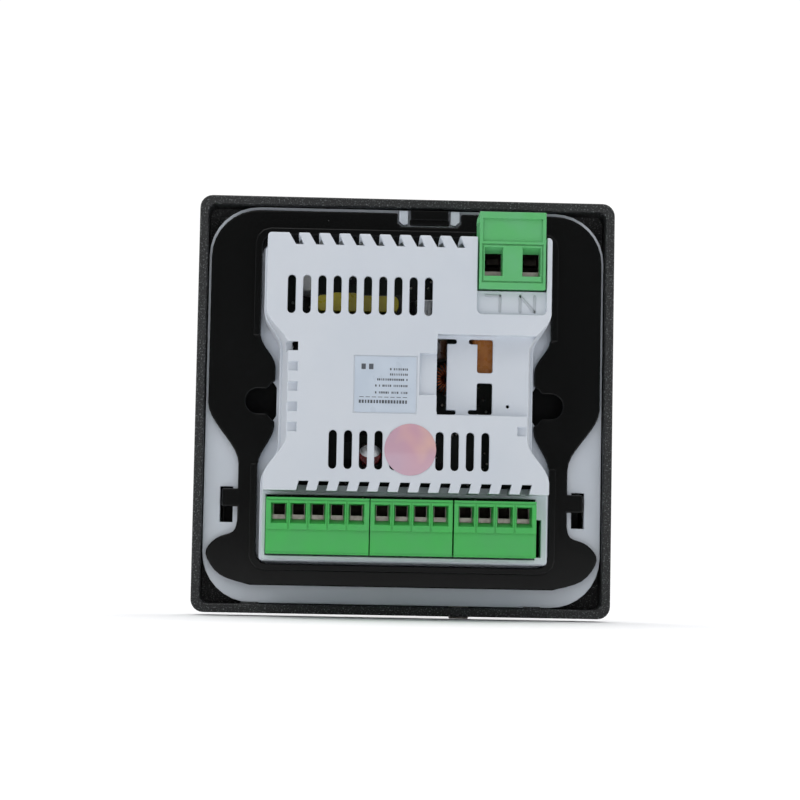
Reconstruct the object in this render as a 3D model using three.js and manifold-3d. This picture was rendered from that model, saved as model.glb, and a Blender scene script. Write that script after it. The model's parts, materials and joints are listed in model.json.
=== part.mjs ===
// Flush wall control panel (wall thermostat) for an 86 mm wall box, with its wall bracket.
// Millimetres, +Z up. The front glass faces -Y and the terminals face +Y, into the wall box.
// The origin is the middle of the 86 mm square, on the plane where the frame's rim meets the wall.

import * as THREE from 'three';
import { mergeVertices } from 'three/addons/utils/BufferGeometryUtils.js';
import Module from 'manifold-3d';

const wasm = await Module();
wasm.setup();

// ---- driving dimensions ----

const gap = 0.3; // between pieces that touch on the real object
const lift = 1.8; // room above the tub: the unit rises 1.6 to leave the bracket's hooks

const frameSide = 86; // outer side of the square frame
const frameCorner = 2.6;
const rimWidth = 1.85;
const frameFront = -9.2; // front edge of the frame
const webBack = -7.2; // inner face of the frame's front web
const webOpening = 75;
const glassSide = 84;
const glassThick = 1.1;
const glassBack = -8.7;

const plateSide = 81.9; // white back plate inside the frame
const plateCorner = 10.3;
const plateBack = -2.1;
const plateFront = -3.6;

const bracketBack = -0.6; // face that bears on the wall box lugs
const bracketFront = -1.8;
const bracketHalf = 40.4;
const bracketTop = 40.15;
const bracketBottom = -37.3;
const bracketCorner = 9.8;
const flangeBack = 1.0; // up-turned edge near the bracket's opening
const flangeWidth = 1.5;
const screwSpacing = 60.3; // wall screws of an 86 mm box
const screwHeight = 0.5;
const notchRadius = 2.55;

const seam = 9.0; // joint between the plate's tub and the rear cover
const deckBack = 20.0; // rearmost face of the cover
const wall = 1.3;
const deckEdge = -18.4; // lower end of the raised deck, above the terminals
const trayBack = 13.0; // rim of the low tray round the terminals

const boardBack = 2.6; // rear face of the power board
const boardThick = 1.6;

const slotPitch = 3.01; // cooling slots
const slotWidth = 1.6;
const slotLength = 7.7;
const toothPitch = 4.0; // slanted notches along the deck's edges

// outlines of the waisted housing: half widths, ends and the two shoulders;
// the cover's top wall overlaps the tub's, so the tub ends lower
const tubTop = 31.2;
const tubFoot = {
  half: 29.2, waist: 26.0, top: tubTop, bottom: -32.4, upper: [18.0, 10.8], lower: [-9.4, -16.4],
};
const tubHead = { ...tubFoot, half: 29.0, waist: 25.6, bottom: -32.2, lower: [-9.2, -16.4] };
const coverFoot = {
  half: 28.6, waist: 25.1, top: 32.9, bottom: -32.1, upper: [17.6, 10.5], lower: [-8.4, -16.2],
};
const coverHead = {
  half: 28.2, waist: 23.7, top: 32.6, bottom: -31.9, upper: [17.2, 10.2], lower: [-7.6, -16.0],
};
const boardShape = {
  half: 27.2, waist: 23.9, top: 29.6, bottom: -30.7, upper: [18.6, 11.6], lower: [-10.2, -17.2],
};
const housingCorner = 0.7;

// opening of the bracket, and the inner line of its flange
const bracketHole = {
  half: 29.9, waist: 26.7, top: tubTop + lift + gap, bottom: -32.8, upper: [14.2, 7.6], lower: [-4.6, -12.6],
};
const flangeLine = { ...bracketHole, top: 34.85 };

// plugs: pitch, ways and the left edge (+X side) of each
const smallPitch = 3.81;
const smallPlugs = [
  { name: 'five_way', ways: 5, left: 27.4, width: 20.3 },
  { name: 'four_way_inner', ways: 4, left: 6.9, width: 16.2 },
  { name: 'four_way_outer', ways: 4, left: -9.6, width: 16.2 },
];
const small = {
  top: -19.8, bottom: -30.5, back: 20.0, mouthHigh: -20.9, mouthLow: -24.95, mouthHalf: 1.55,
  throatHigh: -21.1, throatLow: -23.75, throatHalf: 1.1, cageHalf: 1.45, cageHigh: -20.6, cageLow: -26.9,
  windowHigh: -20.95, windowLow: -23.1, cageFront: 13.0, cageBack: 16.6, axisY: 14.8, shank: 0.85,
  head: 1.3, headThick: 1.2, travel: 1.2,
};
const mainsPitch = 7.5;
const mains = {
  left: -13.7, right: -26.9, low: 22.2, high: 37.6, back: 20.4, mouthLow: 24.8, mouthHigh: 30.6,
  mouthHalf: 1.8, throatLow: 25.0, throatHigh: 28.9, throatHalf: 1.5, cageHalf: 1.95, cageLow: 25.0,
  cageHigh: 33.2, windowLow: 26.0, windowHigh: 30.4, cageFront: 12.8, cageBack: 17.4, axisY: 15.1,
  shank: 1.35, head: 1.9, headThick: 1.3, travel: 1.2,
};
const mouthDepth = 4; // from a plug's rear face to the throat of its wire mouth
const headerBack = 9.6;
const headerWall = 0.8;
const headerFloor = 1.5;
const plugStart = 9.9; // where a plug's full body starts, clear of its header

const object = new THREE.Group();

// ---- shape helpers ----

function toSolid(geometry) {
  geometry.deleteAttribute('normal');
  geometry.deleteAttribute('uv');
  const merged = mergeVertices(geometry, 1e-4);
  const vertProperties = new Float32Array(merged.attributes.position.array);
  const triVerts = new Uint32Array(merged.index.array);
  return new wasm.Manifold(new wasm.Mesh({ numProp: 3, vertProperties, triVerts }));
}

function toGeometry(solid) {
  const mesh = solid.getMesh();
  const geometry = new THREE.BufferGeometry();
  geometry.setAttribute('position', new THREE.BufferAttribute(mesh.vertProperties, 3));
  geometry.setIndex(new THREE.BufferAttribute(mesh.triVerts, 1));
  geometry.computeVertexNormals();
  return geometry;
}

// box between two corners
function block(low, high) {
  const size = high.map((value, i) => value - low[i]);
  const geometry = new THREE.BoxGeometry(...size);
  geometry.translate(...low.map((value, i) => value + size[i] / 2));
  return toSolid(geometry);
}

// round bar along Y or Z between two stations; at holds its other two coordinates
function bar(axis, at, radius, from, to, sides = 16) {
  const geometry = new THREE.CylinderGeometry(radius, radius, to - from, sides);
  const middle = (from + to) / 2;
  if (axis === 'z') geometry.rotateX(Math.PI / 2).translate(at[0], at[1], middle);
  else geometry.translate(at[0], middle, at[1]);
  return toSolid(geometry);
}

// flat piece with an outline of [x, z] points between two Y planes
function slab(points, from, to) {
  const shape = new THREE.Shape(points.map(([x, z]) => new THREE.Vector2(x, z)));
  const geometry = new THREE.ExtrudeGeometry(shape, { depth: to - from, bevelEnabled: false });
  geometry.rotateX(Math.PI / 2).translate(0, to, 0);
  return toSolid(geometry);
}

// tapered piece: one outline at each end, with the same number of points
function taper(frontPoints, from, backPoints, to) {
  const count = frontPoints.length;
  const frontRing = frontPoints.map(([x, z]) => [x, from, z]);
  const backRing = backPoints.map(([x, z]) => [x, to, z]);
  const flat = backPoints.map(([x, z]) => new THREE.Vector2(x, z));
  const lids = THREE.ShapeUtils.triangulateShape(flat, []);
  const index = [];
  for (const [a, b, c] of lids) {
    index.push(a, b, c);
    index.push(count + a, count + c, count + b);
  }
  for (let i = 0; i < count; i += 1) {
    const next = (i + 1) % count;
    index.push(i, count + i, next);
    index.push(next, count + i, count + next);
  }
  const geometry = new THREE.BufferGeometry();
  const positions = [...frontRing, ...backRing].flat();
  geometry.setAttribute('position', new THREE.Float32BufferAttribute(positions, 3));
  geometry.setIndex(index);
  return toSolid(geometry);
}

// counter-clockwise rounded rectangle as [x, z] points
function roundedRect(left, right, low, high, radius, steps = 6) {
  const points = [];
  const corners = [[right, low, -90], [right, high, 0], [left, high, 90], [left, low, 180]];
  for (const [x, z, start] of corners) {
    const cx = x - Math.sign(x - (left + right) / 2) * radius;
    const cz = z - Math.sign(z - (low + high) / 2) * radius;
    for (let i = 0; i <= steps; i += 1) {
      const angle = THREE.MathUtils.degToRad(start + (90 * i) / steps);
      points.push([cx + radius * Math.cos(angle), cz + radius * Math.sin(angle)]);
    }
  }
  return points;
}

function square(side, radius, steps) {
  return roundedRect(-side / 2, side / 2, -side / 2, side / 2, radius, steps);
}

// pieces a pitch apart, each made at its own coordinate, counted downwards from the first
function row(count, first, pitch, make) {
  return Array.from({ length: count }, (_, i) => make(first - i * pitch));
}

// smooth step between two half widths down one shoulder
function shoulder(fromHalf, toHalf, [fromZ, toZ], steps = 7) {
  return Array.from({ length: steps + 1 }, (_, i) => {
    const t = i / steps;
    return [fromHalf + (toHalf - fromHalf) * t * t * (3 - 2 * t), fromZ + (toZ - fromZ) * t];
  });
}

function quarter(cx, cz, radius, start, steps = 3) {
  return Array.from({ length: steps + 1 }, (_, i) => {
    const angle = THREE.MathUtils.degToRad(start - (90 * i) / steps);
    return [cx + radius * Math.cos(angle), cz + radius * Math.sin(angle)];
  });
}

// a right half drawn from top to bottom becomes a full counter-clockwise outline
function mirrored(rightHalf) {
  const leftHalf = rightHalf.map(([x, z]) => [-x, z]);
  return [...leftHalf, ...rightHalf.reverse()];
}

function waisted(form, inset = 0, corner = housingCorner) {
  const half = form.half - inset;
  const waist = form.waist - inset;
  const top = form.top - inset;
  const bottom = form.bottom + inset;
  return mirrored([
    ...quarter(half - corner, top - corner, corner, 90),
    ...shoulder(half, waist, form.upper),
    ...shoulder(waist, half, form.lower),
    ...quarter(half - corner, bottom + corner, corner, 0),
  ]);
}

// block whose X edges are given from the middle outwards, on the side +1 or -1
function sideBlock(side, [innerX, frontY, lowZ], [outerX, backY, highZ]) {
  const [left, right] = side > 0 ? [innerX, outerX] : [-outerX, -innerX];
  return block([left, frontY, lowZ], [right, backY, highZ]);
}

function cutAll(solid, cutters) {
  return cutters.reduce((rest, cutter) => rest.subtract(cutter), solid);
}

function joinAll(solids) {
  return solids.reduce((whole, solid) => whole.add(solid));
}

const finishes = {
  glass: { color: 0x0b0d0f, roughness: 0.05, metalness: 0 },
  screen: { color: 0x1a1d22, roughness: 0.3, metalness: 0 },
  frame: { color: 0x2b2d2e, roughness: 0.75, metalness: 0 },
  black: { color: 0x1a1c1b, roughness: 0.2, metalness: 0 },
  white: { color: 0xc7ced8, roughness: 0.45, metalness: 0 },
  board: { color: 0x1d4a2e, roughness: 0.5, metalness: 0 },
  green: { color: 0x50ac5e, roughness: 0.4, metalness: 0 },
  steel: { color: 0xb4b2ac, roughness: 0.35, metalness: 1 },
  ferrite: { color: 0x2f2f31, roughness: 0.6, metalness: 0 },
  tape: { color: 0xb4a92c, roughness: 0.4, metalness: 0 },
  copper: { color: 0xa65a34, roughness: 0.35, metalness: 1 },
  sleeve: { color: 0x8e1f24, roughness: 0.4, metalness: 0 },
  amber: { color: 0xa8641f, roughness: 0.35, metalness: 0 },
  disc: { color: 0xd8dadb, roughness: 0.5, metalness: 0 },
};

function place(name, solid, finish) {
  const mesh = new THREE.Mesh(toGeometry(solid), new THREE.MeshStandardMaterial(finishes[finish]));
  mesh.name = name;
  object.add(mesh);
}

// ---- front: glass, screen and frame ----

const glassPlate = slab(square(glassSide, frameCorner - 0.8), glassBack - glassThick, glassBack);
place('front_glass', glassPlate, 'glass');

const screenSide = webOpening - 1.4;
const screenBack = -6.0;
place('display_panel', slab(square(screenSide, 1.5, 2), glassBack + gap, screenBack), 'screen');

const innerSide = frameSide - 2 * rimWidth;
const button = { left: -14.1, right: -10.1, front: -6.5, back: -4.9, low: -43.5, high: -40.2 };
const beadZ = -innerSide / 2;

function frameSolid() {
  const shell = slab(square(frameSide, frameCorner), frameFront, 0);
  const pocket = slab(square(innerSide, frameCorner - 1), webBack, 1);
  const glassSeat = slab(square(glassSide + 0.6, frameCorner - 0.6), frameFront - 1, glassBack + gap);
  const window = slab(square(webOpening, 1.5, 2), frameFront - 1, 1);
  const buttonHole = block(
    [button.left - gap, button.front - gap, -frameSide / 2 - 1],
    [button.right + gap, button.back + gap, beadZ + 1],
  );
  const beads = [31, -27].map((x) => block([x - 2, bracketFront, beadZ - 0.4], [x + 2, -1.0, beadZ + 0.4]));
  return joinAll([cutAll(shell, [pocket, glassSeat, window, buttonHole]), ...beads]);
}
place('bezel_frame', frameSolid(), 'frame');

function buttonSolid() {
  const stem = block([button.left, button.front, button.low], [button.right, button.back, button.high]);
  const collar = block(
    [button.left - 0.8, button.front - 0.4, beadZ + gap],
    [button.right + 0.8, button.back + 0.5, button.high],
  );
  return stem.add(collar);
}
place('reset_button', buttonSolid(), 'steel');

// ---- main board behind the screen ----

function mainBoardSolid() {
  const board = slab(roundedRect(-24.5, 24.5, -36, 36, 2, 2), -5.3, -4.3);
  const screwHoles = [-21, 21].map((x) => bar('y', [x, 31], 1.6, -6, -4, 12));
  const connector = block([-9, -4.5, -30.6], [9, -1.5, -27.1]);
  const shield = block([-8, -4.5, -6], [10, -2.6, 12]);
  return joinAll([cutAll(board, screwHoles), connector, shield]);
}
place('main_board', mainBoardSolid(), 'board');

// ---- white back plate with its tub ----

const hookSlot = { inner: 34.9, outer: 37.5, low: -24.5, high: -17.2 };
const postHalf = 0.95;
const postFoot = 37.65;
const postHead = 40.7;
const posts = [{ x: 0.9, outward: 1 }, { x: -9.8, outward: -1 }]; // either side of the latch tongue

// post with its outer lower corner cut away
function latchPost({ x, outward }) {
  const outline = [
    [x - outward * postHalf, postFoot + 0.2],
    [x + outward * 0.1, postFoot],
    [x + outward * postHalf, postFoot + 0.8],
    [x + outward * postHalf, postHead],
    [x - outward * postHalf, postHead],
  ];
  return slab(outline, plateBack - 0.5, -0.7);
}

// room behind a bracket notch for the head of the wall box screw
function screwRoom(side) {
  const outline = [
    [26.4, screwHeight - 2.9],
    [27.4, screwHeight - 4.4],
    [33.4, screwHeight - 4.4],
    [33.4, screwHeight + 4.4],
    [27.4, screwHeight + 4.4],
    [26.4, screwHeight + 2.9],
  ];
  return slab(outline.map(([x, z]) => [side * x, z]), plateFront - 1, plateBack + 1);
}

function backPlateSolid() {
  const plate = slab(square(plateSide, plateCorner, 8), plateFront, plateBack);
  const tub = taper(waisted(tubFoot), plateBack - 0.5, waisted(tubHead), seam - gap);
  const inside = taper(waisted(tubFoot, wall), plateFront - 1, waisted(tubHead, wall), seam + 1);
  const hookSlots = [-1, 1].map((side) => sideBlock(
    side,
    [hookSlot.inner, plateFront - 1, hookSlot.low],
    [hookSlot.outer, plateBack + 1, hookSlot.high],
  ));
  const openings = [inside, ...hookSlots, screwRoom(1), screwRoom(-1)];
  return joinAll([cutAll(plate.add(tub), openings), ...posts.map(latchPost)]);
}
place('back_plate', backPlateSolid(), 'white');

// ---- rear cover: raised deck, low tray, slots and cut-outs ----

const floorBack = deckBack - 3.2; // lowered area beside the label
const bayWall = 1.2;
const mainsBayLow = 17.2;
const mainsBayBack = deckBack - 1.2;
const labelBox = { left: -1.8, right: 10.7, low: -2.9, high: 8.5, depth: 0.25 };
const above = deckBack + 10; // clear of the cover
const below = seam - 1;

// upright slot with round ends, cut through the deck
function coolingSlot(x, z) {
  const half = slotWidth / 2;
  const outline = roundedRect(x - half, x + half, z - slotLength / 2, z + slotLength / 2, half * 0.99, 3);
  return slab(outline, deckBack - 4, above);
}

// comb notch through the deck's upper edge and the whole top wall: slanted at the deck,
// and towards the seam its right side leans back over the opening
function upperNotch(x) {
  const low = 30.3;
  const high = 33.2;
  const leftSide = [[x + 1.75, low], [x + 3.46, high]];
  const atDeck = [[x, low], ...leftSide, [x + 1.25, high]];
  const atSeam = [[x + 1.25, low], ...leftSide, [x + 1.05, high]];
  return taper(atSeam, below, atDeck, deckBack + 2);
}

// slanted notch in the deck's lower edge, above the terminals
function lowerNotch(x) {
  const outline = [[x, -19.5], [x + 1.9, -19.5], [x + 1.1, -16.5], [x - 0.8, -16.5]];
  return slab(outline, trayBack + 0.5, above);
}

// blind pocket in the deck's side edge; the first one is open to the inside
function sidePocket(side, z, floor) {
  return sideBlock(side, [21.8, floor, z - 1.8], [27, above, z]);
}

// slots that leave tongues standing in the lowered floor
function floorCutouts() {
  const through = (x0, x1, z0, z1) => slab(roundedRect(x0, x1, z0, z1, 0.42, 2), floorBack - 4, above);
  return [
    through(-7.8, -5.7, -2.7, 12.4),
    through(-9.7, -7.2, 11.4, 12.4),
    through(-9.7, -7.2, -2.7, -1.8),
    through(-16.9, -13.8, 5.7, 12.4),
    through(-14.2, -12.1, 11.4, 12.4),
    through(-16.9, -13.8, -2.6, 3.7),
    through(-14.2, -12.1, -2.6, -1.7),
    bar('y', [-20, -0.9], 0.35, floorBack - 4, above, 8),
  ];
}

// shell with the lowered floor in it, before anything is cut through the deck
function coverShell() {
  const outer = taper(waisted(coverFoot), seam, waisted(coverHead), deckBack);
  const hollow = taper(waisted(coverFoot, wall), below, waisted(coverHead, wall), deckBack - wall);
  const behindDeckEdge = block([-40, below, deckEdge + wall], [40, deckBack, 40]);
  const within = taper(waisted(coverFoot, 0.4), seam, waisted(coverHead, 0.4), deckBack);
  const bay = block([-30, floorBack - wall, -3 - bayWall], [-5.8 + wall, deckBack - 0.5, 13.0 + bayWall]);
  return outer.subtract(hollow.intersect(behindDeckEdge)).add(bay.intersect(within));
}

function coverSolid() {
  const overTray = block([-40, trayBack, -40], [40, above, deckEdge]);
  const trayWindow = block([-26.1, below, -31.2], [27.7, above, -19.1]);
  const traySlot = block([-27.3, below, -30.7], [-26.0, above, -23.2]);
  const mainsWindow = block([-27.2, below, 21.9], [-13.4, above, 40]);
  const mainsBay = slab(roundedRect(-27.2, -13.4, mainsBayLow, 24, 1.0, 3), mainsBayBack, above);
  const labelBay = block(
    [labelBox.left, deckBack - labelBox.depth, labelBox.low],
    [labelBox.right, above, labelBox.high],
  );
  const floorBay = block([-30, floorBack, -3.0], [-5.8, above, 13.0]);
  const squareBay = block([-5.9, deckBack - 1.1, 0.9], [-2.3, above, 9.1]);
  return cutAll(coverShell(), [
    overTray,
    trayWindow,
    traySlot,
    mainsWindow,
    mainsBay,
    labelBay,
    floorBay,
    squareBay,
    ...floorCutouts(),
    ...row(10, 23.3, slotPitch, (x) => coolingSlot(x, 20.4)),
    ...row(11, 14.6, slotPitch, (x) => coolingSlot(x, -10.2)),
    ...row(9, 20.9, toothPitch, upperNotch),
    ...row(12, 20.0, toothPitch, lowerNotch),
    sidePocket(1, 11, deckBack - 5),
    ...row(4, 7, toothPitch, (z) => sidePocket(1, z, deckBack - 1)),
    sidePocket(-1, -5.1, deckBack - 1),
  ]);
}
place('rear_cover', coverSolid(), 'white');

// ---- wall bracket with hook tabs, and its sprung latch tongue ----

const latchNotch = { left: -11.05, right: 2.15, low: postFoot - gap, corner: 0.8 };

function bracketOutline() {
  const lobe = new THREE.SplineCurve([
    new THREE.Vector2(33.9, -24.2),
    new THREE.Vector2(34.7, -26.4),
    new THREE.Vector2(38.2, -27.9),
    new THREE.Vector2(40.2, -31.0),
    new THREE.Vector2(37.2, -35.3),
    new THREE.Vector2(31.0, bracketBottom),
  ]);
  return mirrored([
    ...quarter(bracketHalf - bracketCorner, bracketTop - bracketCorner, bracketCorner, 90, 8),
    ...shoulder(bracketHalf, 33.9, [0, -12.6], 9),
    ...lobe.getPoints(20).map((point) => [point.x, point.y]),
  ]);
}

// open notch for a wall box screw: a round end with a flared mouth towards the middle
function screwNotch(side) {
  const centre = screwSpacing / 2;
  const hole = bar('y', [side * centre, screwHeight], notchRadius, -3, 3, 24);
  const flare = [[centre, notchRadius], [28.4, 2.5], [27.2, 3.9], [25.5, 4.6]];
  const upper = flare.map(([x, z]) => [side * x, screwHeight + z]);
  const lower = flare.map(([x, z]) => [side * x, screwHeight - z]);
  return hole.add(slab([...upper, ...lower.reverse()], -3, 3));
}

// hook tab: out of the bracket's plane, through the plate's slot and up behind the plate
function hookTab(side) {
  const low = -21.3;
  const high = -17.6;
  const tip = -15.9;
  const inner = 35.3;
  const outer = 37.1;
  const reach = -5.2;
  return joinAll([
    sideBlock(side, [33.2, bracketFront, low], [outer, bracketBack, high]),
    sideBlock(side, [inner, reach, low], [outer, bracketFront + 0.2, high]),
    sideBlock(side, [inner, reach, low], [outer, plateFront - 0.5, tip]),
  ]);
}

function latchCut() {
  const { left, right, low, corner } = latchNotch;
  const outline = [
    [left, low + corner],
    [left + corner, low],
    [right - corner, low],
    [right, low + corner],
    [right, 45],
    [left, 45],
  ];
  return slab(outline, -3, 3);
}

function bracketSolid() {
  const plate = slab(bracketOutline(), bracketFront, bracketBack);
  const rim = slab(waisted(flangeLine, -flangeWidth, 3.2), bracketFront, flangeBack);
  const withinRim = slab(waisted(flangeLine, 0, 2.4), bracketBack, flangeBack + 1);
  const opening = slab(waisted(bracketHole, 0, 2.4), -3, 3);
  // the flange stands only along the upper and lower stretches, not round the waist
  const flangeGap = block([-34, bracketBack, -12.4], [34, 3, 13.8]);
  const body = plate.add(cutAll(rim, [withinRim, flangeGap]));
  return joinAll([
    cutAll(body, [opening, latchCut(), screwNotch(1), screwNotch(-1)]),
    hookTab(1),
    hookTab(-1),
  ]);
}
place('wall_bracket', bracketSolid(), 'black');

function latchSolid() {
  const low = latchNotch.low + gap;
  const root = block([-8.6, bracketFront, low], [-0.4, bracketBack - 0.1, low + 1.2]);
  const nose = block([-8.4, bracketFront, low + 1.0], [-0.6, bracketBack + 0.3, 40.8]);
  return root.add(nose);
}
place('latch_tongue', latchSolid(), 'black');

// ---- power board and what stands on it ----

const standY = boardBack + gap;

place('power_board', slab(waisted(boardShape), boardBack - boardThick, boardBack), 'board');

const standBack = 12.4; // rear face of the core's ring

// ring round the winding, and the yoke that closes it behind
function coreSolid() {
  const ring = block([1.2, standY, 7.5], [19.2, standBack, 21.4]);
  const window = block([3.6, standY - 1, 9.6], [17.0, standBack + 1, 19.6]);
  const yoke = block([1.2, standBack - 0.2, 7.5], [19.2, 15.2, 17.2]);
  return ring.subtract(window).add(yoke);
}
place('transformer_core', coreSolid(), 'ferrite');

// taped winding: its body in the ring, and the bulge that stands out above the yoke
function windingSolid() {
  const body = block([3.9, standY, 9.9], [16.7, standBack - 0.5, 19.3]);
  const neck = block([3.9, standBack - 0.6, 17.5], [16.7, standBack + 0.5, 19.3]);
  const bulge = slab(roundedRect(2.0, 18.4, 17.5, 20.8, 1.2, 4), standBack + 0.3, 16.2);
  const crown = slab(roundedRect(9.6, 16.0, 17.5, 21.3, 1.4, 4), standBack + 0.3, 16.2);
  return joinAll([body, neck, bulge, crown]);
}
place('transformer_winding', windingSolid(), 'tape');

place('disc_varistor', bar('y', [20.3, 23.6], 1.9, standY, 14.0, 20), 'disc');
place('bulk_capacitor', bar('z', [-4.4, 9.6], 3.7, 8.6, 20.6, 24), 'steel');
place('output_capacitor', bar('y', [7.1, -10.9], 2.2, standY, 15.0, 24), 'sleeve');
place('film_capacitor', block([-18.6, standY, 4.9], [-12.9, 14.2, 13.4]), 'amber');

function chokeSolid() {
  const ring = new THREE.TorusGeometry(2.2, 1.3, 8, 20);
  ring.rotateX(Math.PI / 2).translate(-8.6, 12.2, 4.7);
  const base = block([-9.6, standY, 1.8], [-7.6, 11.8, 3.2]);
  return toSolid(ring).add(base);
}
place('choke_coil', chokeSolid(), 'copper');

// ---- terminal headers, plugs, screws and clamps ----

function headerSolid(left, right, low, high, ways, pinZ) {
  const box = block([right, standY, low], [left, headerBack, high]);
  const socket = block(
    [right + headerWall, standY + headerFloor, low + headerWall],
    [left - headerWall, headerBack + 1, high - headerWall],
  );
  const pins = ways.map((x) => block(
    [x - 0.5, standY + 0.5, pinZ - 0.5],
    [x + 0.5, headerBack + 1, pinZ + 0.5],
  ));
  return joinAll([box.subtract(socket), ...pins]);
}

// wire mouth that narrows from the plug's rear face to its throat
function wireMouth(form, x) {
  const past = 0.5; // the cut runs on past the rear face
  const corners = (half, low, high) => [
    [x - half, low],
    [x + half, low],
    [x + half, high],
    [x - half, high],
  ];
  const throat = corners(form.throatHalf, form.throatLow, form.throatHigh);
  const rim = corners(form.mouthHalf, form.mouthLow, form.mouthHigh);
  const outside = rim.map(([px, pz], i) => [
    px + ((px - throat[i][0]) * past) / mouthDepth,
    pz + ((pz - throat[i][1]) * past) / mouthDepth,
  ]);
  return taper(throat, form.back - mouthDepth, outside, form.back + past);
}

// bar along Z between two stations given in any order
function upright(form, x, radius, one, other, sides) {
  return bar('z', [x, form.axisY], radius, Math.min(one, other), Math.max(one, other), sides);
}

// one way of a plug: mouth, clamp chamber, screw bore with head pocket, and pin hole;
// inward is the direction along Z from the screw's head into the plug
function wayCutters(form, x, headZ, inward, pinZ) {
  const chamberLow = form.cageLow - gap - (inward > 0 ? form.travel : 0);
  const chamberHigh = form.cageHigh + gap + (inward > 0 ? 0 : form.travel);
  const pocketEnd = headZ + inward * (form.headThick + gap);
  const outside = headZ - inward;
  return [
    wireMouth(form, x),
    block(
      [x - form.cageHalf - 0.2, form.cageFront - gap, chamberLow],
      [x + form.cageHalf + 0.2, form.cageBack + gap, chamberHigh],
    ),
    upright(form, x, form.shank + 0.2, (chamberLow + chamberHigh) / 2, outside, 8),
    upright(form, x, form.head + 0.2, pocketEnd, outside, 12),
    block([x - 0.8, standY, pinZ - 0.8], [x + 0.8, form.cageFront + 0.5, pinZ + 0.8]),
  ];
}

function screwSolid(form, x, headZ, inward) {
  const headEnd = headZ + inward * form.headThick;
  const tip = inward > 0 ? form.windowLow - 0.3 : form.windowHigh + 0.3;
  const head = upright(form, x, form.head, headZ, headEnd, 12);
  const shank = upright(form, x, form.shank, headEnd - inward * 0.2, tip, 8);
  const slotEnds = [headZ - inward, headZ + inward * 0.6];
  const slot = block(
    [x - 3, form.axisY - 0.25, Math.min(...slotEnds)],
    [x + 3, form.axisY + 0.25, Math.max(...slotEnds)],
  );
  return head.add(shank).subtract(slot);
}

// wire cage that the screw pulls along: a loop with a threaded bar on the screw's side
function clampSolid(form, x, inward) {
  const loop = block(
    [x - form.cageHalf, form.cageFront, form.cageLow],
    [x + form.cageHalf, form.cageBack, form.cageHigh],
  );
  const window = block(
    [x - form.cageHalf + 0.35, form.cageFront - 1, form.windowLow],
    [x + form.cageHalf - 0.35, form.cageBack + 1, form.windowHigh],
  );
  const [windowEdge, outside] = inward > 0
    ? [form.windowLow + 0.5, form.cageLow - 1]
    : [form.windowHigh - 0.5, form.cageHigh + 1];
  const thread = upright(form, x, form.shank + 0.12, windowEdge, outside, 8);
  return cutAll(loop, [window, thread]);
}

// low terminal blocks: wires enter from +Y, screw heads face down
const smallHead = small.bottom + 0.2;
const smallPinZ = -25.4;
const smallHeader = { low: -30.4, high: -19.9 };
const ridgeLow = -26.1; // lower end of the part of the rear face that stands proud
const lineLow = small.top - 0.6; // fine line along that part's upper end
for (const plug of smallPlugs) {
  const right = plug.left - plug.width;
  const first = plug.left - (plug.width - (plug.ways - 1) * smallPitch) / 2;
  const ways = row(plug.ways, first, smallPitch, (x) => x);
  const header = headerSolid(plug.left, right, smallHeader.low, smallHeader.high, ways, smallPinZ);
  place(`header_${plug.name}`, header, 'green');

  const body = block([right, plugStart, small.bottom], [plug.left, small.back, small.top]);
  const nose = block(
    [right + headerWall + gap, standY + headerFloor + gap, smallHeader.low + headerWall + gap],
    [plug.left - headerWall - gap, plugStart + 0.5, smallHeader.high - headerWall - gap],
  );
  const lip = block(
    [right, plugStart, small.bottom - 0.4],
    [plug.left, small.back - 0.5, small.bottom + 0.7],
  );
  const faceCut = (x0, x1, z0, z1, depth) => block([x0, small.back - depth, z0], [x1, small.back + 1, z1]);
  const step = faceCut(right - 1, plug.left + 1, small.bottom - 1, ridgeLow, 0.35);
  const topLine = faceCut(right - 1, plug.left + 1, lineLow, lineLow + 0.2, 0.2);
  const grooves = row(plug.ways - 1, first - smallPitch / 2, smallPitch, (x) => (
    faceCut(x - 0.14, x + 0.14, ridgeLow, lineLow, 0.2)
  ));
  const cutters = ways.flatMap((x) => wayCutters(small, x, smallHead, 1, smallPinZ));
  const whole = joinAll([body, nose, lip]);
  place(`plug_${plug.name}`, cutAll(whole, [step, topLine, ...grooves, ...cutters]), 'green');

  ways.forEach((x, i) => {
    const label = `${plug.name}_${i + 1}`;
    place(`screw_${label}`, screwSolid(small, x, smallHead, 1), 'steel');
    place(`clamp_${label}`, clampSolid(small, x, 1), 'steel');
  });
}

// mains terminal block: wires enter from +Y, screw heads face up
const mainsMiddle = (mains.left + mains.right) / 2;
const mainsWays = [mainsMiddle + mainsPitch / 2, mainsMiddle - mainsPitch / 2];
const mainsHead = mains.high - 0.2;
const mainsPinZ = 27.2;
const mainsHeader = { left: -13.9, right: -26.7, low: 22.6, high: 29.5 };

place(
  'header_mains',
  headerSolid(mainsHeader.left, mainsHeader.right, mainsHeader.low, mainsHeader.high, mainsWays, mainsPinZ),
  'green',
);

// frame-shaped cut in the plug's rear face
function faceGroove(inset, low, high, width, depth) {
  const ring = (shrink) => block(
    [mains.right + inset + shrink, mains.back - depth, low + shrink],
    [mains.left - inset - shrink, mains.back + 1, high - shrink],
  );
  return ring(0).subtract(ring(width));
}

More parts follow.
